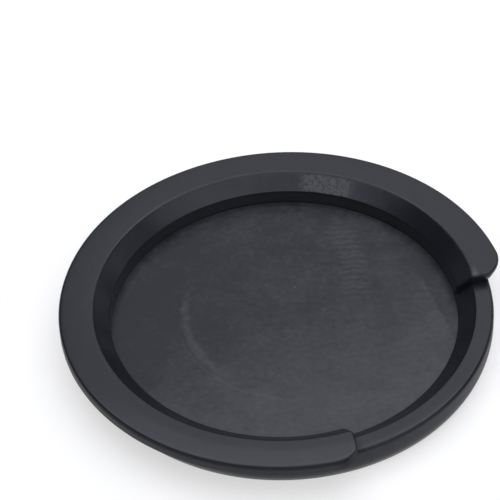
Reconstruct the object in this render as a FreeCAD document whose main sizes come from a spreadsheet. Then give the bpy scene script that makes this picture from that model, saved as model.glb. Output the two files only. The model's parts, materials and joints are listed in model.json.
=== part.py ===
"""Acoustic guitar soundhole cover: one rubber moulding, divided at its own edges into three regions.

Frame, in millimetres: the origin is the centre of the flat underside, +Z points up out of the dish, and
+X points at the middle of the fingerboard gap in the lip.
"""
import FreeCAD, Part
import math
import os
import Sketcher

os.makedirs("parts", exist_ok=True)
doc = FreeCAD.newDocument("soundhole_cover")

# ---- driving dimensions -------------------------------------------------------------------------------
SIZES = [
    ("total_height", 10.8, "underside to the top of the lip"),
    ("lip_radius", 56.0, "outer edge of the lip"),
    ("lip_thickness", 3.35, "the part of the cover that stands above the soundboard"),
    ("mouth_radius", 47.6, "where the lip's flat top meets the dish's slope"),
    ("throat_radius", 43.45, "where the slope meets the upright wall, which has a slight draft"),
    ("floor_radius", 43.3, "where the upright wall meets the floor"),
    ("dish_depth", 7.1, "top of the lip down to the floor"),
    ("plug_radius", 52.0, "land that grips the edge of the soundhole"),
    ("land_height", 2.7, "height of that land, about a soundboard's thickness"),
    ("lead_in", 1.4, "how far the plug's side draws in between the land and the underside"),
    ("gap_half_angle", 39.5, "from the middle of the fingerboard gap to either end of the lip, degrees"),
    ("gap_depth", 2.85, "top of the lip down to the lowered rim"),
    ("left_trim_inward", 5.0, "corner cut from the lip end on the +Y side, measured along the end"),
    ("left_trim_along", 6.6, "the same cut, measured along the outer edge"),
    ("right_trim_inward", 2.9, "corner cut from the lip end on the -Y side, measured along the end"),
    ("right_trim_along", 4.2, "the same cut, measured along the outer edge"),
    ("corner_round", 1.5, "upright edges of the two trimmed corners"),
    ("lip_top_round", 0.6, "top edges of the lip's outside and ends"),
    ("lip_bottom_round", 0.4, "bottom edge of the lip's outside"),
    ("rim_round", 1.0, "outer edge of the lowered rim"),
    ("underside_round", 0.5, "bottom edge of the plug"),
]
sheet = doc.addObject("Spreadsheet::Sheet", "Sizes")
for row, (alias, value, meaning) in enumerate(SIZES, start=1):
    sheet.set("A%d" % row, alias.replace("_", " "))
    sheet.set("B%d" % row, str(value))
    sheet.set("C%d" % row, meaning)
    sheet.setAlias("B%d" % row, alias)
doc.recompute()

# Levels and places that several outlines share, as expressions on the sheet.
TOP = "Sizes.total_height"
SEAT = "(Sizes.total_height - Sizes.lip_thickness)"
RIM = "(Sizes.total_height - Sizes.gap_depth)"
FLOOR = "(Sizes.total_height - Sizes.dish_depth)"
LAND_FOOT = "(Sizes.total_height - Sizes.lip_thickness - Sizes.land_height)"
GAP_ANGLE = "2 * Sizes.gap_half_angle"
SLOPE_RUN = "((Sizes.mouth_radius - Sizes.throat_radius) / Sizes.lip_thickness)"
SLOPE_AT_RIM = "(Sizes.mouth_radius - Sizes.gap_depth * %s)" % SLOPE_RUN
RIM_SLOPE_FOOT = "(%s - (Sizes.mouth_radius - Sizes.floor_radius) / %s)" % (RIM, SLOPE_RUN)
BEVEL = "(Sizes.plug_radius - Sizes.lip_thickness + Sizes.gap_depth)"   # 45 degrees up from the seat
CLEAR = 2.0     # how far a cutting outline stands off the solid that it cuts
SAME = 0.001    # two places closer than this are one


# ---- helpers ------------------------------------------------------------------------------------------
def new_body(name):
    body = doc.addObject("PartDesign::Body", name)
    body.Label = name
    return body


def plane(body, role):
    """One of the body's own origin planes."""
    return next(item for item in body.Origin.OriginFeatures if item.Role == role)


def new_sketch(body, name, role, turned=False):
    """A sketch on one of the body's origin planes; turned puts its first axis on the -X side."""
    sketch = body.newObject("Sketcher::SketchObject", name)
    sketch.AttachmentSupport = [(plane(body, role), "")]
    sketch.MapMode = "FlatFace"
    if turned:
        half_turn = FreeCAD.Rotation(FreeCAD.Vector(0, 1, 0), 180)
        sketch.AttachmentOffset = FreeCAD.Placement(FreeCAD.Vector(0, 0, 0), half_turn)
    return sketch


def evaluate(expression):
    """The number that an expression on the sheet has now, used to draw a sketch near its final shape."""
    return float(sheet.evalExpression(expression.replace("Sizes.", "")))


def fix_point(sketch, shape_index, end, kind, expression):
    """Hold one end of a line at a distance from the sketch's origin; a leading minus sign flips the side."""
    origin, point = (-1, 1), (shape_index, end)
    first, second = (point, origin) if expression.startswith("-") else (origin, point)
    size = expression.lstrip("-")
    index = sketch.addConstraint(Sketcher.Constraint(kind, *first, *second, evaluate(size)))
    sketch.setExpression("Constraints[%d]" % index, size)


def draw_outline(sketch, corners, round_side=None):
    """Close straight sides through the corners, which are pairs of expressions.

    round_side is the number of one side that is an arc instead, tangent to the side before it. It bulges
    up and outwards, which is clockwise; a sketch keeps every arc anticlockwise, so its ends are swapped.
    """
    places = [FreeCAD.Vector(evaluate(across), evaluate(up), 0) for across, up in corners]
    slight_bulge = FreeCAD.Vector(0.2, 0.2, 0)
    ends = []
    for side, start in enumerate(places):
        finish = places[(side + 1) % len(places)]
        if side == round_side:
            sketch.addGeometry(Part.Arc(start, (start + finish) * 0.5 + slight_bulge, finish))
            ends.append((2, 1))
        else:
            sketch.addGeometry(Part.LineSegment(start, finish))
            ends.append((1, 2))
    for side, (across, up) in enumerate(corners):
        start, finish = ends[side]
        after = (side + 1) % len(corners)
        sketch.addConstraint(Sketcher.Constraint("Coincident", side, finish, after, ends[after][0]))
        fix_point(sketch, side, start, "DistanceX", across)
        fix_point(sketch, side, start, "DistanceY", up)
    if round_side is not None:
        sketch.addConstraint(Sketcher.Constraint("Tangent", round_side - 1, round_side))


def turn(body, name, kind, sketch, angle):
    """Revolve or groove a sketch about the upright axis, half of the angle to each side of its plane."""
    feature = body.newObject(kind, name)
    feature.Profile = sketch
    feature.ReferenceAxis = (sketch, ["V_Axis"])
    feature.Midplane = True
    feature.setExpression("Angle", angle)
    sketch.Visibility = False
    doc.recompute()
    return feature


def stop_if_nothing_cut(body, name, before):
    """Stop if a cutting feature removed nothing."""
    after = body.Shape.Volume
    if after > before - SAME:
        raise RuntimeError(name + " removed nothing")


def round_edges(body, name, base, wanted, radius):
    """Fillet every edge of the base feature that the test function wants."""
    names = []
    for number, edge in enumerate(base.Shape.Edges, start=1):
        if wanted(edge):
            names.append("Edge%d" % number)
    if not names:
        raise RuntimeError(name + " found no edges")
    fillet = body.newObject("PartDesign::Fillet", name)
    fillet.Base = (base, names)
    fillet.setExpression("Radius", radius)
    doc.recompute()
    return fillet


def edge_points(edge):
    """The edge's two ends, with its middle between them."""
    first, last = edge.ParameterRange
    return [edge.valueAt(first + (last - first) * share) for share in (0.0, 0.5, 1.0)]


def distance_out(point):
    return math.hypot(point.x, point.y)


def all_at_level(edge, level):
    return all(abs(point.z - level) < SAME for point in edge_points(edge))


def all_at_radius(edge, radius):
    return all(abs(distance_out(point) - radius) < SAME for point in edge_points(edge))


def upright(edge):
    start, _, finish = edge_points(edge)
    return math.hypot(start.x - finish.x, start.y - finish.y) < SAME


# ---- seating flange: the C-shaped lip ------------------------------------------------------------------
def trim_corner(body, side, sign):
    """Cut the outer corner off one end of the lip, straight across."""
    end_angle = "Sizes.gap_half_angle * 1deg"
    cut_angle = "(%s + Sizes.%s_trim_along / Sizes.lip_radius * 1rad)" % (end_angle, side)
    inner = "(Sizes.lip_radius - Sizes.%s_trim_inward)" % side
    beyond = "(Sizes.lip_radius + %g)" % (2 * CLEAR)
    corners = [
        (inner + " * cos(" + end_angle + ")", sign + inner + " * sin(" + end_angle + ")"),
        (beyond + " * cos(" + end_angle + ")", sign + beyond + " * sin(" + end_angle + ")"),
        ("Sizes.lip_radius * cos(" + cut_angle + ")", sign + "Sizes.lip_radius * sin(" + cut_angle + ")"),
    ]
    sketch = new_sketch(body, side + "_trim_outline", "XY_Plane")
    draw_outline(sketch, corners)
    before = body.Shape.Volume
    pocket = body.newObject("PartDesign::Pocket", side + "_trim")
    pocket.Profile = sketch
    pocket.Midplane = True
    pocket.setExpression("Length", "4 * Sizes.total_height")
    sketch.Visibility = False
    doc.recompute()
    stop_if_nothing_cut(body, pocket.Name, before)
    return pocket


def make_flange():
    """The lip hooks over the ring's bevelled top edge, so that its flat underside is only its seat."""
    body = new_body("seating_flange")
    section = new_sketch(body, "lip_section", "XZ_Plane", turned=True)
    corners = [
        ("Sizes.mouth_radius", TOP),
        (SLOPE_AT_RIM, RIM),
        (BEVEL, RIM),
        ("Sizes.plug_radius", SEAT),
        ("Sizes.lip_radius", SEAT),
        ("Sizes.lip_radius", TOP),
    ]
    draw_outline(section, corners)
    turn(body, "lip", "PartDesign::Revolution", section, "360 - " + GAP_ANGLE)
    trim_corner(body, "left", "")
    trimmed = trim_corner(body, "right", "-")
    top, seat = evaluate(TOP), evaluate(SEAT)
    lip_radius = evaluate("Sizes.lip_radius")
    mouth_radius = evaluate("Sizes.mouth_radius")
    rounded = round_edges(body, "corners_rounded", trimmed, upright, "Sizes.corner_round")

    def outer_top_edge(edge):
        return all_at_level(edge, top) and not all_at_radius(edge, mouth_radius)

    rounded = round_edges(body, "top_rounded", rounded, outer_top_edge, "Sizes.lip_top_round")

    def outer_bottom_edge(edge):
        return all_at_level(edge, seat) and all_at_radius(edge, lip_radius)

    round_edges(body, "bottom_rounded", rounded, outer_bottom_edge, "Sizes.lip_bottom_round")
    return body


# ---- plug ring: the wall that goes into the soundhole --------------------------------------------------
def make_plug_ring():
    """An upright land under the lip, then a side that curves in towards the underside."""
    body = new_body("plug_ring")
    section = new_sketch(body, "ring_section", "XZ_Plane")
    corners = [
        ("Sizes.floor_radius", "0"),
        ("Sizes.floor_radius", FLOOR),
        ("Sizes.throat_radius", SEAT),
        (SLOPE_AT_RIM, RIM),
        (BEVEL, RIM),
        ("Sizes.plug_radius", SEAT),
        ("Sizes.plug_radius", LAND_FOOT),
        ("(Sizes.plug_radius - Sizes.lead_in)", "0"),
    ]
    draw_outline(section, corners, round_side=6)
    ring = turn(body, "ring", "PartDesign::Revolution", section, "360")
    foot_radius = evaluate("Sizes.plug_radius - Sizes.lead_in")

    def foot_edge(edge):
        return all_at_level(edge, 0.0) and all_at_radius(edge, foot_radius)

    round_edges(body, "foot_rounded", ring, foot_edge, "Sizes.underside_round")

    # In the gap the ring's top is the lowered rim, which repeats the dish's slope on its inner edge.
    well_above = "(%s + %g)" % (RIM, CLEAR)
    within_dish = "(Sizes.floor_radius - %g)" % CLEAR
    before = body.Shape.Volume
    slope = new_sketch(body, "rim_slope_section", "XZ_Plane")
    corners = [
        ("Sizes.mouth_radius", RIM),
        ("Sizes.mouth_radius", well_above),
        (within_dish, well_above),
        (within_dish, RIM_SLOPE_FOOT),
        ("Sizes.floor_radius", RIM_SLOPE_FOOT),
    ]
    draw_outline(slope, corners)
    turn(body, "rim_slope", "PartDesign::Groove", slope, GAP_ANGLE)
    stop_if_nothing_cut(body, "rim_slope", before)

    # The rim's outer edge is rounded over, in the gap only.
    round_start = "(Sizes.plug_radius - Sizes.rim_round)"
    well_inside = "(%s - %g)" % (round_start, CLEAR)
    well_outside = "(Sizes.plug_radius + %g)" % CLEAR
    before = body.Shape.Volume
    edge_section = new_sketch(body, "rim_edge_section", "XZ_Plane")
    corners = [
        (well_inside, RIM),
        (round_start, RIM),
        ("Sizes.plug_radius", "(%s - Sizes.rim_round)" % RIM),
        (well_outside, "(%s - Sizes.rim_round)" % RIM),
        (well_outside, well_above),
        (well_inside, well_above),
    ]
    draw_outline(edge_section, corners, round_side=1)
    turn(body, "rim_edge", "PartDesign::Groove", edge_section, GAP_ANGLE)
    stop_if_nothing_cut(body, "rim_edge", before)
    return body


# ---- floor membrane: the disc that closes the hole -----------------------------------------------------
def make_floor():
    body = new_body("floor_membrane")
    outline = new_sketch(body, "disc_outline", "XY_Plane")
    circle = Part.Circle(FreeCAD.Vector(0, 0, 0), FreeCAD.Vector(0, 0, 1), evaluate("Sizes.floor_radius"))
    outline.addGeometry(circle)
    outline.addConstraint(Sketcher.Constraint("Coincident", 0, 3, -1, 1))
    index = outline.addConstraint(Sketcher.Constraint("Radius", 0, evaluate("Sizes.floor_radius")))
    outline.setExpression("Constraints[%d]" % index, "Sizes.floor_radius")
    pad = body.newObject("PartDesign::Pad", "disc")
    pad.Profile = outline
    pad.setExpression("Length", FLOOR)
    outline.Visibility = False
    doc.recompute()
    return body


bodies = [make_flange(), make_plug_ring(), make_floor()]
doc.recompute()

# ---- checks, then one STEP file for each region --------------------------------------------------------
for item in doc.Objects:
    if "Invalid" in item.State or "Error" in item.State:
        raise RuntimeError(item.Name + " failed: " + str(item.State))
for body in bodies:
    shape = body.Shape
    if shape.isNull() or not shape.isValid() or len(shape.Solids) != 1:
        raise RuntimeError(body.Label + " isn't one valid solid")
    box = shape.optimalBoundingBox(False, False)
    print("%-16s volume %8.1f mm3, box %.2f x %.2f x %.2f mm" % (
        body.Label, shape.Volume, box.XLength, box.YLength, box.ZLength))
for body in bodies:
    body.Shape.exportStep(os.path.join("parts", body.Label + ".step"))
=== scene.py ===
"""Looks of the guitar soundhole cover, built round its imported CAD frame.

The cover is one black rubber moulding. Its three regions are three closed meshes here, one for each CAD
node: the C-shaped lip, the ring under it and the floor. They meet face to face, and share one material and
one unevenness, so that they read as one moulding.
"""
import json
import math

import bmesh
import bpy
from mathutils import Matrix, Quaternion, Vector, noise


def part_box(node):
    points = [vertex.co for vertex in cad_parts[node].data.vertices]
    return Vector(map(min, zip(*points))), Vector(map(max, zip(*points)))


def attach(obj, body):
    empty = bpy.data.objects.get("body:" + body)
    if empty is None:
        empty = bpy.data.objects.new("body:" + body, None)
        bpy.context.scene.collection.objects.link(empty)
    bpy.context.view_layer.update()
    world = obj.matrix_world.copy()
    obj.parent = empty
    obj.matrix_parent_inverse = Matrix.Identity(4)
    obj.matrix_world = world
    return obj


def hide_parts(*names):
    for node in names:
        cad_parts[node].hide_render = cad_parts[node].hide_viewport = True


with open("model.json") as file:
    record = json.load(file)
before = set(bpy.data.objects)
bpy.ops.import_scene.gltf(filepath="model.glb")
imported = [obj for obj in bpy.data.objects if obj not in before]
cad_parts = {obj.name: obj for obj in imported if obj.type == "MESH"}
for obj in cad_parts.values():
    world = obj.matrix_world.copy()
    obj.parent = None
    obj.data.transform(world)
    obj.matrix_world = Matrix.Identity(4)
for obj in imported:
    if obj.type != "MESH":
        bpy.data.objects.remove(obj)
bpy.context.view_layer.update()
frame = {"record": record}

MM = 0.001

# ---- sizes, in metres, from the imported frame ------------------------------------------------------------
flange_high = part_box("seating_flange")[1]
ring_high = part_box("plug_ring")[1]
floor_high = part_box("floor_membrane")[1]
plug = next(mount for mount in frame["record"]["mounts"] if mount["name"] == "soundhole_plug")

TOP = flange_high.z
LIP_RADIUS = flange_high.y
RIM = ring_high.z
PLUG_RADIUS = ring_high.x
FLOOR = floor_high.z
FLOOR_RADIUS = floor_high.x
SEAT = plug["pos_m"][2] + plug["dims"]["length_mm"] * MM / 2
LAND_FOOT = plug["pos_m"][2] - plug["dims"]["length_mm"] * MM / 2

# ---- sizes that no box holds, as in the CAD source ------------------------------------------------------
MOUTH_RADIUS = 47.6 * MM
THROAT_RADIUS = 43.45 * MM
LEAD_IN = 1.4 * MM
GAP_HALF_ANGLE = math.radians(39.5)
SLOPE_RUN = (MOUTH_RADIUS - THROAT_RADIUS) / (TOP - SEAT)
RIM_SLOPE_FOOT = RIM - (MOUTH_RADIUS - FLOOR_RADIUS) / SLOPE_RUN
BEVEL = PLUG_RADIUS - (RIM - SEAT)      # the ring's top edge under the lip, at 45 degrees

# ---- the lip's trimmed ends, in more detail than in the CAD ---------------------------------------------
LEFT_CORNER = (9.0 * MM, math.radians(8))       # +Y end: radius of the worn corner, and where it begins
RIGHT_CORNER = (6.5 * MM, math.radians(6))      # -Y end, likewise
LEFT_UNDERCUT = 2.6 * MM                # the +Y end's corner leans in by this much at its foot
RIGHT_MOUTH_CORNER = 1.1 * MM           # the -Y end's corner at the mouth is rounded too
RIGHT_SKEW = math.radians(1.1)          # the -Y end is cut askew: it reaches further at the mouth
SKEW_RADIUS = 53 * MM                   # where the askew cut meets the gap's true angle
SKEW_RUN = math.radians(4)              # the length of lip that follows the cut

# ---- roundings and soft shapes --------------------------------------------------------------------------
LIP_TOP_ROUND = 0.7 * MM
LIP_BOTTOM_ROUND = 0.4 * MM
MOUTH_ROUND = 1.2 * MM
THROAT_ROUND = 0.3 * MM
END_ROUND = 0.7 * MM            # round the edge of each of the lip's end faces
END_CORNER_ROUND = 0.9 * MM     # where the end face meets the worn corner
END_CORNER_ARC = 0.8            # the arc drawn there, as a share of that length
LIP_CROWN = 0.2 * MM            # how far the lip's top falls away at its outer edge
CROWN_START = 48.5 * MM
RIM_ROUND = 1.0 * MM
RIM_INNER_ROUND = 0.5 * MM
UNDERSIDE_ROUND = 0.5 * MM
FLOOR_FILLET = 0.1 * MM
FLOOR_DOME = 0.3 * MM
HARDLY = 0.02 * MM              # rounding of an edge that is sharp
GAP_BLEND_END = math.radians(4)         # how far under the lip the rim's rounding has gone
GAP_BLEND = math.radians(3)             # the length in which it goes
WARP = (34 * MM, 0.05 * MM)     # unevenness: wave length and height of the broad part
WAVE = (7 * MM, 0.012 * MM)     # and of the short part
WAVE_OFFSET = Vector((11, 5, 3))        # keeps the two parts from lining up
UNEVENNESS_SEED = 7             # without a seed, mathutils noise differs from run to run

# ---- mesh fineness --------------------------------------------------------------------------------------
TURNS = 384             # columns in a full circle, a multiple of 8
COLUMN = 2 * math.pi / TURNS
CLOSEST = 0.0004        # columns of the lip nearer than this angle are one
ARC_PIECES = 5          # pieces in a rounded edge
WORN_PIECES = 12        # pieces in a worn corner
SIDE_PIECES = 8         # pieces down the plug's curved side
SHARP = math.radians(32)
TOUCH = 0.004 * MM      # points closer than this are one


# ---- mesh helpers ---------------------------------------------------------------------------------------
def unevenness(place):
    """How far a moulded surface stands off its true place: a broad warp and a short wave."""
    broad = noise.noise_vector(place / WARP[0]) * WARP[1]
    short = noise.noise_vector(place / WAVE[0] + WAVE_OFFSET) * WAVE[1]
    return broad + short


def finish_piece(bm, name):
    """Make a piece of the cover from a closed bmesh, with flat faces that shade flat."""
    bmesh.ops.remove_doubles(bm, verts=bm.verts, dist=TOUCH)
    bmesh.ops.recalc_face_normals(bm, faces=bm.faces)
    for vert in bm.verts:
        vert.co += unevenness(vert.co)
    mesh = bpy.data.meshes.new(name)
    bm.to_mesh(mesh)
    bm.free()
    mesh.shade_smooth()
    mesh.set_sharp_from_angle(angle=SHARP)
    piece = bpy.data.objects.new(name, mesh)
    bpy.context.scene.collection.objects.link(piece)
    weighted = piece.modifiers.new("flat_faces_stay_flat", "WEIGHTED_NORMAL")
    weighted.keep_sharp = True
    return piece


def between(start, finish, count):
    """The first count of count + 1 even points from start to finish."""
    return [start + (finish - start) * (i / count) for i in range(count)]


def corner_arc(before, corner, after, radius):
    """The points of an arc that rounds a corner off."""
    back, on = (before - corner).normalized(), (after - corner).normalized()
    half = back.angle(on) / 2
    centre = corner + (back + on).normalized() * radius / math.sin(half)
    reach = radius / math.tan(half)
    start = (corner + back * reach - centre).normalized()
    finish = (corner + on * reach - centre).normalized()
    return [centre + start.slerp(finish, i / ARC_PIECES) * radius for i in range(ARC_PIECES + 1)]


def outline_through(corners):
    """A closed outline from corners: across, up, rounding, and the pieces in the side that follows."""
    places = [Vector((across, up)) for across, up, _, _ in corners]
    arcs = []
    for i, (_, _, rounding, _) in enumerate(corners):
        if rounding:
            arcs.append(corner_arc(places[i - 1], places[i], places[(i + 1) % len(places)], rounding))
        else:
            arcs.append([places[i]])
    outline = []
    for i, arc in enumerate(arcs):
        after = arcs[(i + 1) % len(arcs)]
        outline.extend(arc[:-1])
        outline.extend(between(arc[-1], after[0], corners[i][3]))
    return outline


def placed(bm, outline, angle, skew=0):
    """One outline's points, turned to an angle round the Z axis, and a little more at the mouth if askew."""
    points = []
    for place in outline:
        share = (SKEW_RADIUS - place.x) / (SKEW_RADIUS - MOUTH_RADIUS)
        turn = angle + skew * min(max(share, 0), 1)
        points.append(bm.verts.new((place.x * math.cos(turn), place.x * math.sin(turn), place.y)))
    return points


def skin(bm, here, there):
    """Faces between two closed rows of points."""
    for i in range(len(here)):
        j = (i + 1) % len(here)
        bm.faces.new((here[i], here[j], there[j], there[i]))


def in_gap(angle):
    """1 in the fingerboard gap, 0 under the lip, and a short blend just inside the lip's ends."""
    from_middle = abs((angle + math.pi) % (2 * math.pi) - math.pi)
    return min(max((GAP_HALF_ANGLE + GAP_BLEND_END - from_middle) / GAP_BLEND, 0), 1)


# ---- the lip --------------------------------------------------------------------------------------------
def worn_outline(radius, begins, corner_round):
    """(angle from the end, outer radius) along a worn corner, from the end face to the full radius."""
    centre = (LIP_RADIUS - radius) * Vector((math.cos(begins), math.sin(begins)))
    foot = Vector((centre.x + math.sqrt(radius ** 2 - centre.y ** 2), 0))
    first = math.atan2(-centre.y, foot.x - centre.x)
    turn = first + corner_round / radius
    arc_start = centre + radius * Vector((math.cos(turn), math.sin(turn)))
    places = corner_arc(foot - Vector((corner_round, 0)), foot, arc_start, corner_round * END_CORNER_ARC)
    reached = places[-1] - centre
    turn = math.atan2(reached.y, reached.x)
    for i in range(1, WORN_PIECES + 1):
        on = turn + (begins - turn) * i / WORN_PIECES
        places.append(centre + radius * Vector((math.cos(on), math.sin(on))))
    return [(math.atan2(place.y, place.x), place.length) for place in places]


def along_outline(outline, angle):
    """The outer radius at an angle from the end."""
    for (a, out_a), (b, out_b) in zip(outline, outline[1:]):
        if angle <= b:
            share = min(max((angle - a) / max(b - a, 1e-9), 0), 1)
            return out_a + (out_b - out_a) * share
    return LIP_RADIUS


def mouth_shift(from_end, rounding):
    """How far the mouth stands back where a corner is rounded in plan."""
    left = rounding - from_end * MOUTH_RADIUS
    if rounding == 0 or left <= 0:
        return 0
    return rounding - math.sqrt(max(rounding ** 2 - left ** 2, 0))


def end_inset(from_end):
    """How far the outline draws in near an end face, to round the face's edge."""
    left = END_ROUND - from_end * MOUTH_RADIUS
    return END_ROUND - math.sqrt(END_ROUND ** 2 - left ** 2) if left > 0 else 0


def lip_section(top_out, low_out, shift, inset):
    """The lip's outline, from its outer radii at top and foot, its mouth's shift and its inset."""
    steep = math.sqrt(1 + 1 / SLOPE_RUN ** 2)
    mouth = MOUTH_RADIUS + shift + inset * (steep - 1) * SLOPE_RUN
    throat = THROAT_RADIUS + shift + inset
    foot = FLOOR_RADIUS + shift + inset
    low_out -= inset
    low = RIM - min(max(low_out - BEVEL, 0), RIM - SEAT)
    outline = outline_through([
        (mouth, TOP - inset, MOUTH_ROUND, 5),
        (throat, TOP - (MOUTH_RADIUS + shift - throat) / SLOPE_RUN - inset * steep, THROAT_ROUND, 3),
        (foot, RIM - (MOUTH_RADIUS - foot) / SLOPE_RUN, 0, 4),
        (MOUTH_RADIUS, RIM, 0, 3),
        (min(BEVEL, low_out - 2 * HARDLY), RIM, 0, 1),
        (min(PLUG_RADIUS, low_out - HARDLY), low, 0, 4),
        (low_out, low, LIP_BOTTOM_ROUND if low_out > PLUG_RADIUS + MM else HARDLY / 4, 3),
        (top_out - inset, TOP - inset, LIP_TOP_ROUND, 10),
    ])
    for place in outline:
        over = max(place.x - CROWN_START, 0) / (LIP_RADIUS - CROWN_START)
        place.y -= LIP_CROWN * over ** 2 * min(max((place.y - SEAT) / (TOP - SEAT), 0), 1)
    return outline


def make_lip():
    """The lip, swept from its +Y end round to its -Y end; its columns are closer together at the ends."""
    sweep = 2 * (math.pi - GAP_HALF_ANGLE)
    left = worn_outline(*LEFT_CORNER, END_CORNER_ROUND)
    right = worn_outline(*RIGHT_CORNER, END_CORNER_ROUND)
    end_steps = [END_ROUND * (1 - math.cos(math.radians(turn))) for turn in range(0, 91, 15)]
    near_end = [step / MOUTH_RADIUS for step in end_steps]
    from_left = {round(angle, 7) for angle, _ in left} | {round(angle, 7) for angle in near_end}
    corner_steps = [RIGHT_MOUTH_CORNER * (1 - math.cos(math.radians(turn))) for turn in range(0, 91, 10)]
    from_right = {round(angle, 7) for angle, _ in right} | {round(angle, 7) for angle in near_end}
    from_right |= {round(step / MOUTH_RADIUS, 7) for step in corner_steps}
    first, last = max(from_left), sweep - max(from_right)
    middle = between(first, last, round((last - first) / COLUMN))
    angles = sorted(from_left | set(middle[1:]) | {sweep - angle for angle in from_right})
    angles = [a for a, before in zip(angles, [-1] + angles) if a - before > CLOSEST]

    bm = bmesh.new()
    columns = []
    for angle in angles:
        top_out = min(along_outline(left, angle), along_outline(right, sweep - angle))
        lean = LEFT_UNDERCUT * max(1 - angle / LEFT_CORNER[1], 0)
        shift = mouth_shift(sweep - angle, RIGHT_MOUTH_CORNER)
        inset = end_inset(min(angle, sweep - angle))
        section = lip_section(top_out, top_out - lean, shift, inset)
        skew = RIGHT_SKEW * max(1 - (sweep - angle) / SKEW_RUN, 0)
        columns.append(placed(bm, section, GAP_HALF_ANGLE + angle, skew))
    for here, there in zip(columns, columns[1:]):
        skin(bm, here, there)
    caps = [bm.faces.new(columns[0]), bm.faces.new(columns[-1])]
    bmesh.ops.triangulate(bm, faces=caps)
    return finish_piece(bm, "lip")


# ---- the ring -------------------------------------------------------------------------------------------
def ring_section(angle):
    """The ring's outline; its top edges are rounded in the gap and sharp under the lip."""
    share = in_gap(angle)
    rim_round = RIM_ROUND * share + HARDLY * (1 - share)
    inner_round = RIM_INNER_ROUND * share + HARDLY * (1 - share)
    side_radius = (LAND_FOOT ** 2 + LEAD_IN ** 2) / (2 * LEAD_IN)
    outline = outline_through([
        (FLOOR_RADIUS, 0, 0, 4),
        (FLOOR_RADIUS, RIM_SLOPE_FOOT, inner_round, 5),
        (MOUTH_RADIUS, RIM, inner_round, 4),
        (PLUG_RADIUS, RIM, rim_round, 3),
        (PLUG_RADIUS, LAND_FOOT, 0, 1),
    ])[:-1]
    foot_angle = math.asin(LAND_FOOT / side_radius)
    side = []
    for i in range(SIDE_PIECES + 1):
        turn = foot_angle * i / SIDE_PIECES
        drawn_in = side_radius * (1 - math.cos(turn))
        side.append(Vector((PLUG_RADIUS - drawn_in, LAND_FOOT - side_radius * math.sin(turn))))
    foot = corner_arc(side[-2], side[-1], Vector((FLOOR_RADIUS, 0)), UNDERSIDE_ROUND)
    return outline + side[:-1] + foot


def make_ring():
    bm = bmesh.new()
    columns = [placed(bm, ring_section(i * COLUMN), i * COLUMN) for i in range(TURNS)]
    for i in range(TURNS):
        skin(bm, columns[i], columns[(i + 1) % TURNS])
    return finish_piece(bm, "ring")


# ---- the floor ------------------------------------------------------------------------------------------
def disc(bm, radius, height, dome=0):
    """A disc of four-sided faces, from a square grid whose rings are drawn into circles; returns its rim."""
    half = TURNS // 8
    grid = {}
    for i in range(-half, half + 1):
        for j in range(-half, half + 1):
            ring = max(abs(i), abs(j))
            if ring == 0:
                angle = 0
            elif i == ring:
                angle = math.pi / 4 * j / ring
            elif j == ring:
                angle = math.pi / 4 * (2 - i / ring)
            elif i == -ring:
                angle = math.pi / 4 * (4 - j / ring)
            else:
                angle = math.pi / 4 * (6 + i / ring)
            out = radius * ring / half
            rise = dome * (1 - (ring / half) ** 2)
            grid[i, j] = bm.verts.new((out * math.cos(angle), out * math.sin(angle), height + rise))
    for i in range(-half, half):
        for j in range(-half, half):
            bm.faces.new((grid[i, j], grid[i + 1, j], grid[i + 1, j + 1], grid[i, j + 1]))
    rim = [vert for (i, j), vert in grid.items() if max(abs(i), abs(j)) == half]
    return sorted(rim, key=lambda vert: round(math.atan2(vert.co.y, vert.co.x) / COLUMN) % TURNS)


def make_floor():
    bm = bmesh.new()
    top = disc(bm, FLOOR_RADIUS - FLOOR_FILLET, FLOOR, FLOOR_DOME)
    fillet = []
    for i in range(1, ARC_PIECES + 1):
        turn = math.pi / 2 * i / ARC_PIECES
        out = FLOOR_RADIUS - FLOOR_FILLET * (1 - math.sin(turn))
        fillet.append(Vector((out, FLOOR + FLOOR_FILLET * (1 - math.cos(turn)))))
    side = fillet + between(fillet[-1], Vector((FLOOR_RADIUS, 0)), 5)[1:]
    columns = [placed(bm, side, i * COLUMN) for i in range(TURNS)]
    bottom = disc(bm, FLOOR_RADIUS, 0)
    rows = [top] + [[column[i] for column in columns] for i in range(len(side))] + [bottom]
    for here, there in zip(rows, rows[1:]):
        skin(bm, here, there)
    return finish_piece(bm, "floor")


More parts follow.
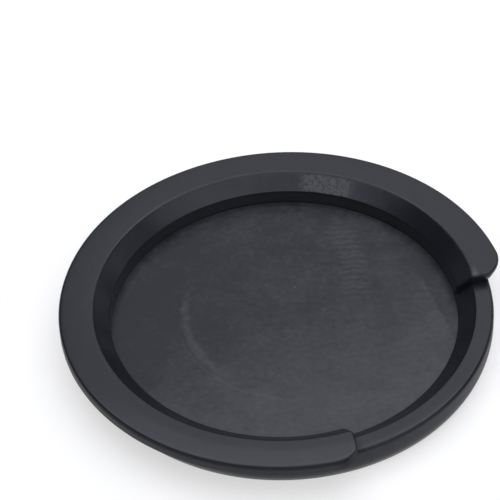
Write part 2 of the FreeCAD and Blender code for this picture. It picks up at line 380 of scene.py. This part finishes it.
# ---- the rubber -----------------------------------------------------------------------------------------
class Nodes:
    """Adds nodes to a tree; an input is given as another node's socket or as a number."""

    def __init__(self, tree):
        self.tree = tree

    def add(self, kind, inputs, output=0, **settings):
        node = self.tree.nodes.new(kind)
        for name, value in settings.items():
            setattr(node, name, value)
        for name, value in inputs.items():
            if isinstance(value, bpy.types.NodeSocket):
                self.tree.links.new(value, node.inputs[name])
            else:
                node.inputs[name].default_value = value
        return node.outputs[output]

    def math(self, operation, *values):
        return self.add("ShaderNodeMath", dict(enumerate(values)), operation=operation)

    def total(self, *parts):
        """The sum of (socket, share) pairs."""
        result = 0.0
        for value, share in parts:
            result = self.math("MULTIPLY_ADD", value, share, result)
        return result

    def noise(self, place, size, detail=2.0, roughness=0.5):
        """Noise round 0, about -0.5 to 0.5, with lumps of a size in millimetres."""
        value = self.add("ShaderNodeTexNoise", {"Vector": place, "Scale": 1 / size, "Detail": detail,
                                                "Roughness": roughness})
        return self.math("SUBTRACT", value, 0.5)

    def fade(self, value, start, finish):
        """0 at start and 1 at finish, or the other way round if start is the larger."""
        return self.add("ShaderNodeMapRange", {"Value": value, "From Min": start, "From Max": finish},
                        interpolation_type="SMOOTHSTEP")

    def window(self, value, low, high, soft):
        """1 between low and high, with soft edges."""
        return self.math("MULTIPLY", self.fade(value, low - soft, low + soft),
                         self.fade(value, high + soft, high - soft))

    def product(self, first, *others):
        for other in others:
            first = self.math("MULTIPLY", first, other)
        return first

    def distance(self, across, along, centre):
        """How far a place is from a centre, seen from above."""
        squares = [self.math("POWER", self.math("SUBTRACT", value, middle), 2.0)
                   for value, middle in zip((across, along), centre)]
        return self.math("SQRT", self.math("ADD", *squares))

    def region(self, parts, limits):
        """1 where every limit holds: (start, finish) is a fade, (low, high, softness) a window."""
        shares = []
        for name, limit in limits.items():
            make = self.fade if len(limit) == 2 else self.window
            shares.append(make(parts[name], *limit))
        return self.product(*shares)

    def mixture(self, parts, shares):
        """The sum of named parts, each times its share."""
        return self.total(*[(parts[name], share) for name, share in shares.items()])


# The marks were read off the photo in its own directions, so they are placed in axes turned by its
# azimuth. The axes are fixed to the cover: the marks stay on it whatever the camera does.
MARKS_TURN = math.radians(-33.2)
DARK_RUBBER = (0.0072, 0.0076, 0.0118, 1)
# the pale colour that bloom, painted light and painted highlights mix into the rubber
BLOOMED_AND_PAINTED_LIGHT_RUBBER = (0.057, 0.058, 0.061, 1)
SPECULAR_LEVEL = 0.35
SPECULAR_TINT = (0.93, 0.955, 1, 1)

# Places of marks and of painted light and shade, in millimetres: across and along are the turned axes, out
# is the distance from the middle and height is from the underside. A bearing is in radians, from across
# towards along. A slanted place mixes across, along and a slow wobble, so that its edges run at an angle and
# aren't straight.
WOBBLE = 9.0
SLANTED = {
    "near_place": {"along": 1, "across": -0.3, "wobble": 34},
    "patch_place": {"across": 1, "along": 0.3, "wobble": 4},
    "beyond_place": {"across": 1, "along": 0.3, "wobble": 2},
    "band_place": {"across": 1, "along": 0.08, "wobble": 5},
    "hook_place": {"hook_out": 1, "hook_noise": 1.6},
    "smudge_place": {"smudge_out": 1, "wobble": 9},
    "ripple_place": {"along": 1, "ripple_noise": 3.2},
}
HOOK_CENTRE = (4.2, 3.0)
SMUDGE_CENTRE = (-6.0, -29.5)
RIPPLE_PITCH = 3.3              # radians to the millimetre
REGIONS = {
    "on_floor": {"height": (5.2, 4.6), "out": (43.35, 43.1)},
    # the slope; its own share in the pale mix is painted shade
    "on_slope": {"height": (7.6, 10.4, 0.2), "out": (43.2, 47.9, 0.3)},
    # painted light on the dish's upright wall
    "painted_wall_light": {"height": (4.2, 7.2, 0.3), "out": (43.1, 43.9, 0.1)},
    # painted shade on the outer sides of the lip and plug, which are also duller
    "sides_with_painted_shade": {"out": (51.3, 51.9), "height": (10.5, 9.9)},
    # painted shade on the near left of the cover
    "painted_near_left_shade": {"across": (0, -40), "along": (8, -20)},
    # painted light on the lip's outer part on the near side
    "painted_near_edge_light": {"along": (-26, -44), "out": (49.5, 52)},
    # painted highlight along the mouth edge by the +Y end
    "painted_end_glint": {"bearing": (0.08, 0.16, 0.04), "out": (47.6, 49.0, 0.5), "height": (9.8, 10.4)},
    # painted light: the floor lighter towards its near side
    "near": {"near_place": (10, -38)},
    "patch": {"patch_place": (28, 38.8, 1.2), "along": (-10, 16, 6)},
    "beyond": {"beyond_place": (38.3, 39.3), "along": (-12, 20, 4)},
    "hook": {"hook_place": (28.2, 30.2, 0.8), "hook_turn": (-0.25, 0.75, 0.2)},
    "tail": {"hook_place": (31.2, 31.5, 0.4), "hook_turn": (0.3, 1.5, 0.3)},
    "band": {"band_place": (16.0, 22.5, 1.2), "along": (7, 33, 5)},
    # painted light: the floor lighter at its edge by the far wall
    "far_floor_painted_light": {"out": (38.5, 42.5), "along": (0, 25)},
    # painted shade on the lip by its -Y end, which is also duller
    "cut_end_with_painted_shade": {"bearing": (-1.36, -1.24, 0.035), "out": (47.6, 47.8), "height": (7.3, 10.5, 0.15)},
    # painted shade in a band at the top of the lip's outer side on the near side, which is also duller
    "edge_foot_with_painted_shade": {"height": (9.45, 10.45, 0.15), "out": (55.2, 55.7), "along": (-10, -35)},
    # painted shade: the floor darker on its left
    "left": {"across": (-4, -34), "along": (-34, 4)},
    "smudge": {"smudge_place": (7, 2)},
}
SLOPE_REGIONS = {
    # painted shade on the slope's near part
    "painted_near_slope_shade": {"along": (-18, -34)},
    # a patch of the far slope with a painted highlight and painted glints in its colour; it is also slicker
    # and wrinkled
    "shine": {"bearing": (1.16, 1.43, 0.05)},
    "pale_slope": {"bearing": (1.62, 2.0, 0.12)},
    # painted light on the slope's left part
    "painted_slope_left_light": {"across": (0, -34)},
}
# the upright wall gets painted light everywhere but at these bearings
WALL_WITHOUT_PAINTED_LIGHT = (-1.2, 0.12, 0.05)         # nearly the bearings of the fingerboard gap

# Noises: size of the lumps in millimetres, detail and roughness.
NOISES = {
    "hook_noise": (3, 3, 0.5),
    "ripple_noise": (3, 2, 0.5),
    "broad_haze": (12, 2, 0.5),
    "middle_haze": (4.5, 3, 0.6),
    "fine_haze": (1.4, 3, 0.6),
    "breaks": (2.6, 3, 0.65),
    "mottle": (13, 1, 0.5),
    "glint_noise": (1.0, 3, 0.7),
    "speck_noise": (14, 0, 0.5),
    "dull_grain": (1.2, 2, 0.5),
    "wrinkle_noise": (2.4, 3, 0.6),
    "grain": (0.4, 2, 0.5),
    "dents": (2.5, 2, 0.5),
}
BREAKS = (-0.3, -0.04)          # where the hook's line is broken, on its noise
SPECK_SCALE = 0.13              # cells to the millimetre
SPECK_EDGE = (0.05, 0.03)       # a speck's edge, in cells
SPECK_PLACES = (0.02, 0.1)      # where specks gather, on their noise
SOFT_ZERO = 0.12                # how gently the bloom stops at 0
MOST_BLOOM = 2.0

# How much each part adds to a sum.
HAZE = {"broad_haze": 0.5, "middle_haze": 0.6, "fine_haze": 0.65}
HAZE_STRENGTH = {"on_floor": 0.88, "everywhere": 0.22}
# Flow marks on the floor, and painted light and shade: the floor lighter towards its near side and at its
# edge by the far wall, and darker on its left.
FLOOR_MARKS_AND_PAINTED_LIGHT = {
    "near": 0.5, "patch": 0.06, "beyond": -0.3, "broken_hook": 0.4, "broken_tail": 0.34,
    "band": 0.2, "ripple": 0.15, "left": -0.22, "smudge": 0.16, "far_floor_painted_light": 0.3,
}
# Shares of the pale mix. Bloom: the haze, the floor's marks, the slope's mottle and the small offsets on the
# floor and everywhere. Painted highlight: the shine patch on the far slope and the mouth edge by the +Y end.
# Painted light: the dish's upright wall away from the gap, the lip's outer part on the near side and the
# slope's left part. Painted shade: the lip by its -Y end, a band at the top of the lip's outer side on the
# near side, the whole slope and more on its near part, the near left of the cover, and the outer sides of
# the lip and plug. The pale stretch of the far slope is a little paler.
BLOOM_AND_PAINTED_LIGHT = {
    "haze": 1.0, "floor_marks_and_painted_light": 1.0, "shine": 0.95, "slope_mottle": 0.7, "pale_slope": 0.1,
    "cut_end_with_painted_shade": -0.3, "edge_foot_with_painted_shade": -0.4, "painted_wall_light": 0.42, "painted_near_slope_shade": -0.1, "on_slope": -0.1,
    "painted_near_edge_light": 0.26, "painted_end_glint": 0.75, "painted_slope_left_light": 0.22, "painted_near_left_shade": -0.1, "sides_with_painted_shade": -0.32,
    "on_floor": 0.04, "everywhere": 0.1,
}
BLOOM_WITH_PAINTED_GLINTS = {"bloom_and_painted_light": 1.0, "painted_glints": 6.0}
BLOOM_AND_PAINTED_LIGHT_WITH_SPECKS = {"bloom_and_painted_light": 1, "specks": 1.2}
ROUGHNESS = {
    "bloom_and_painted_light": 0.05, "dull_grain": 0.02, "shine": -0.11, "on_floor": 0.14, "sides_with_painted_shade": 0.2,
    "pale_slope": 0.06, "cut_end_with_painted_shade": 0.25, "edge_foot_with_painted_shade": 0.25, "everywhere": 0.28,
}
RELIEF = {"grain": 0.006, "dents": 0.03, "ripple": 0.012, "wrinkle": 0.42, "hook": 0.03}


def places_on_cover(add, tree):
    """The coordinates, noises and regions that the rubber's looks are made of, by name."""
    metres = add.add("ShaderNodeTexCoord", {}, output="Object")
    place = add.add("ShaderNodeVectorMath", {0: metres, "Scale": 1 / MM}, operation="SCALE")
    turned = add.add("ShaderNodeVectorRotate", {"Vector": place, "Angle": MARKS_TURN},
                     rotation_type="Z_AXIS")
    split = tree.nodes.new("ShaderNodeSeparateXYZ")
    tree.links.new(turned, split.inputs[0])
    across, along, height = split.outputs
    out = add.math("SQRT", add.math("ADD", add.math("MULTIPLY", across, across),
                                    add.math("MULTIPLY", along, along)))
    bearing = add.math("ARCTAN2", along, across)
    parts = {"across": across, "along": along, "height": height, "out": out, "bearing": bearing}
    parts["everywhere"] = 1.0
    parts["wobble"] = add.noise(turned, WOBBLE)
    for name, settings in NOISES.items():
        parts[name] = add.noise(turned, *settings)
    parts["hook_out"] = add.distance(across, along, HOOK_CENTRE)
    parts["hook_turn"] = add.math("ARCTAN2", add.math("SUBTRACT", HOOK_CENTRE[1], along),
                                  add.math("SUBTRACT", HOOK_CENTRE[0], across))
    parts["smudge_out"] = add.distance(across, along, SMUDGE_CENTRE)
    for name, shares in SLANTED.items():
        parts[name] = add.mixture(parts, shares)
    for name, limits in REGIONS.items():
        parts[name] = add.region(parts, limits)
    for name, limits in SLOPE_REGIONS.items():
        parts[name] = add.product(add.region(parts, limits), parts["on_slope"])
    # painted light on the upright wall, taken off where it faces the gap
    without_painted_light = add.window(bearing, *WALL_WITHOUT_PAINTED_LIGHT)
    parts["painted_wall_light"] = add.product(parts["painted_wall_light"], add.math("SUBTRACT", 1.0, without_painted_light))
    return turned, parts


def rubber():
    """Black rubber with a faint uneven bloom, flow marks on the floor and a few specks, with painted light,
    painted shade and painted highlights mixed into its colour.
    """
    material = bpy.data.materials.new("moulded_rubber")
    material.use_nodes = True
    tree = material.node_tree
    shader = tree.nodes["Principled BSDF"]
    add = Nodes(tree)
    shader.inputs["Specular IOR Level"].default_value = SPECULAR_LEVEL
    shader.inputs["Specular Tint"].default_value = SPECULAR_TINT
    turned, parts = places_on_cover(add, tree)

    # pale mix: bloom, the grey haze on moulded rubber, with the floor's marks and the specks; painted light
    # and shade on the lip, slope, wall, sides and floor; a painted highlight with painted glints on the far
    # slope
    ripple_wave = add.math("SINE", add.math("MULTIPLY", parts["ripple_place"], RIPPLE_PITCH))
    parts["ripple"] = add.product(ripple_wave, parts["band"])
    broken = add.fade(parts["breaks"], *BREAKS)
    parts["broken_hook"] = add.product(parts["hook"], broken)
    parts["broken_tail"] = add.product(parts["tail"], broken)
    parts["haze"] = add.product(add.mixture(parts, HAZE), add.mixture(parts, HAZE_STRENGTH))
    parts["floor_marks_and_painted_light"] = add.product(add.mixture(parts, FLOOR_MARKS_AND_PAINTED_LIGHT), parts["on_floor"])
    parts["slope_mottle"] = add.product(parts["mottle"], parts["on_slope"])
    parts["bloom_and_painted_light"] = add.mixture(parts, BLOOM_AND_PAINTED_LIGHT)
    # painted glints: flecks of painted highlight in the shine patch on the far slope
    parts["painted_glints"] = add.product(parts["glint_noise"], parts["shine"])
    parts["bloom_and_painted_light"] = add.math("SMOOTH_MAX", add.mixture(parts, BLOOM_WITH_PAINTED_GLINTS), 0.0, SOFT_ZERO)
    cells = add.add("ShaderNodeTexVoronoi", {"Vector": turned, "Scale": SPECK_SCALE, "Randomness": 1.0})
    parts["specks"] = add.product(add.fade(cells, *SPECK_EDGE),
                                  add.fade(parts["speck_noise"], *SPECK_PLACES), parts["on_floor"])
    parts["bloom_and_painted_light"] = add.math("MINIMUM", add.mixture(parts, BLOOM_AND_PAINTED_LIGHT_WITH_SPECKS), MOST_BLOOM)
    base = add.add("ShaderNodeMix", {"Factor": parts["bloom_and_painted_light"], "A": DARK_RUBBER, "B": BLOOMED_AND_PAINTED_LIGHT_RUBBER},
                   output=2, data_type="RGBA")
    tree.links.new(base, shader.inputs["Base Color"])

    # roughness: a little duller with the bloom and the painted light, on the floor and on the plug's side;
    # slicker in the shine
    tree.links.new(add.mixture(parts, ROUGHNESS), shader.inputs["Roughness"])

    # relief, in millimetres: grain, soft dents, the floor's ripples and hook, wrinkles on the slope
    parts["wrinkle"] = add.product(parts["wrinkle_noise"], parts["shine"])
    bump = add.add("ShaderNodeBump", {"Height": add.mixture(parts, RELIEF), "Distance": MM, "Strength": 1.0})
    tree.links.new(bump, shader.inputs["Normal"])
    return material


# ---- assembly -------------------------------------------------------------------------------------------
noise.seed_set(UNEVENNESS_SEED)
material = rubber()
for make, node in ((make_lip, "seating_flange"), (make_ring, "plug_ring"), (make_floor, "floor_membrane")):
    piece = make()
    piece.data.materials.append(material)
    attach(piece, "root")
    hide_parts(node)

# ---- studio ---------------------------------------------------------------------------------------------
CAMERA_AZIMUTH, CAMERA_ELEVATION = math.radians(33.2), math.radians(44.21)
CAMERA_DISTANCE = 615.3 * MM            # from the middle of the lip's top
CAMERA_AIM = Vector((-16.62, 10.78, 10.7)) * MM
CAMERA_ROLL = math.radians(-3.12)
CAMERA_LENS = 178.6

CAMERA_SENSOR = 36                      # width, in millimetres
CAMERA_REACH = (0.01, 20)               # nearest and farthest that it sees

# Three softboxes and a card: (right, far, up) in metres as seen from the camera's side, width and depth,
# radiance, and whether it hangs level or else faces the cover.
SOFTBOXES = {
    "overhead_softbox": ((0.05, -0.15, 1.2), (2.0, 2.3), 1.4, True),
    "strip_softbox": ((0.1, 0.52, 1.15), (1.4, 0.2), 2.6, True),
    "far_softbox": ((0.65, 1.6, 1.2), (2.0, 1.2), 1.2, True),
    "right_card": ((1.16, -0.7, 0.5), (1.65, 1.0), 0.45, False),
}
ROOM = 0.07                     # strength of the light from all round
COOL = (0.98, 0.985, 1.06)      # colour of all the light
PAPER_HALF = 1.6                # half the paper's width
PAPER_DROP = 0.05 * MM          # how far it lies below the cover's underside
PAPER_BASE = (0.46, 0.46, 0.46, 1)
PAPER_ROUGHNESS = 0.9
PAPER_SPECULAR = 0.1
PAPER_GLOW = (0.97, 0.97, 0.96, 1)
PAPER_GLOW_STRENGTH = 0.6


def from_camera_side(right, far, up):
    """A place in the row frame, from how far right, far and up it is as seen from the camera's side."""
    across = Vector((math.cos(CAMERA_AZIMUTH), math.sin(CAMERA_AZIMUTH), 0))
    away = Vector((-math.sin(CAMERA_AZIMUTH), math.cos(CAMERA_AZIMUTH), 0))
    return across * right + away * far + Vector((0, 0, up))


def make_studio():
    """A white paper floor under the softboxes, in a dim room that only the camera sees as white."""
    scene = bpy.context.scene
    mesh = bpy.data.meshes.new("paper_floor")
    corners = [(-1, -1), (1, -1), (1, 1), (-1, 1)]
    mesh.from_pydata([(x * PAPER_HALF, y * PAPER_HALF, -PAPER_DROP) for x, y in corners], [], [(0, 1, 2, 3)])
    paper = bpy.data.materials.new("white_paper")
    paper.use_nodes = True
    shader = paper.node_tree.nodes["Principled BSDF"]
    shader.inputs["Base Color"].default_value = PAPER_BASE
    shader.inputs["Roughness"].default_value = PAPER_ROUGHNESS
    shader.inputs["Specular IOR Level"].default_value = PAPER_SPECULAR
    shader.inputs["Emission Color"].default_value = PAPER_GLOW
    shader.inputs["Emission Strength"].default_value = PAPER_GLOW_STRENGTH
    mesh.materials.append(paper)
    floor = bpy.data.objects.new("paper_floor", mesh)
    scene.collection.objects.link(floor)

    for name, (place, (width, depth), radiance, level) in SOFTBOXES.items():
        light = bpy.data.lights.new(name, "AREA")
        light.shape = "RECTANGLE"
        light.size, light.size_y = width, depth
        light.color = COOL
        light.energy = radiance * math.pi * width * depth
        lamp = bpy.data.objects.new(name, light)
        lamp.location = from_camera_side(*place)
        lamp.rotation_euler.z = CAMERA_AZIMUTH
        if not level:
            lamp.rotation_euler = (-lamp.location).to_track_quat("-Z", "Y").to_euler()
        scene.collection.objects.link(lamp)

    room = bpy.data.worlds.new("dim_room")
    scene.world = room
    room.use_nodes = True
    tree = room.node_tree
    dim = tree.nodes["Background"]
    dim.inputs["Color"].default_value = (*COOL, 1)
    dim.inputs["Strength"].default_value = ROOM
    white = tree.nodes.new("ShaderNodeBackground")
    white.inputs["Color"].default_value = (1, 1, 1, 1)
    path = tree.nodes.new("ShaderNodeLightPath")
    mix = tree.nodes.new("ShaderNodeMixShader")
    tree.links.new(path.outputs["Is Camera Ray"], mix.inputs["Fac"])
    tree.links.new(dim.outputs[0], mix.inputs[1])
    tree.links.new(white.outputs[0], mix.inputs[2])
    tree.links.new(mix.outputs[0], tree.nodes["World Output"].inputs["Surface"])
    scene.view_settings.view_transform = "Standard"


def make_camera():
    data = bpy.data.cameras.new("camera")
    data.lens = CAMERA_LENS
    data.sensor_width = CAMERA_SENSOR
    data.clip_start, data.clip_end = CAMERA_REACH
    taker = bpy.data.objects.new("camera", data)
    back = from_camera_side(0, -math.cos(CAMERA_ELEVATION), math.sin(CAMERA_ELEVATION))
    taker.location = Vector((0, 0, TOP)) + back * CAMERA_DISTANCE
    aim = (CAMERA_AIM - taker.location).normalized()
    taker.rotation_mode = "QUATERNION"
    taker.rotation_quaternion = aim.to_track_quat("-Z", "Y") @ Quaternion((0, 0, 1), CAMERA_ROLL)
    bpy.context.scene.collection.objects.link(taker)
    bpy.context.scene.camera = taker


make_studio()
make_camera()
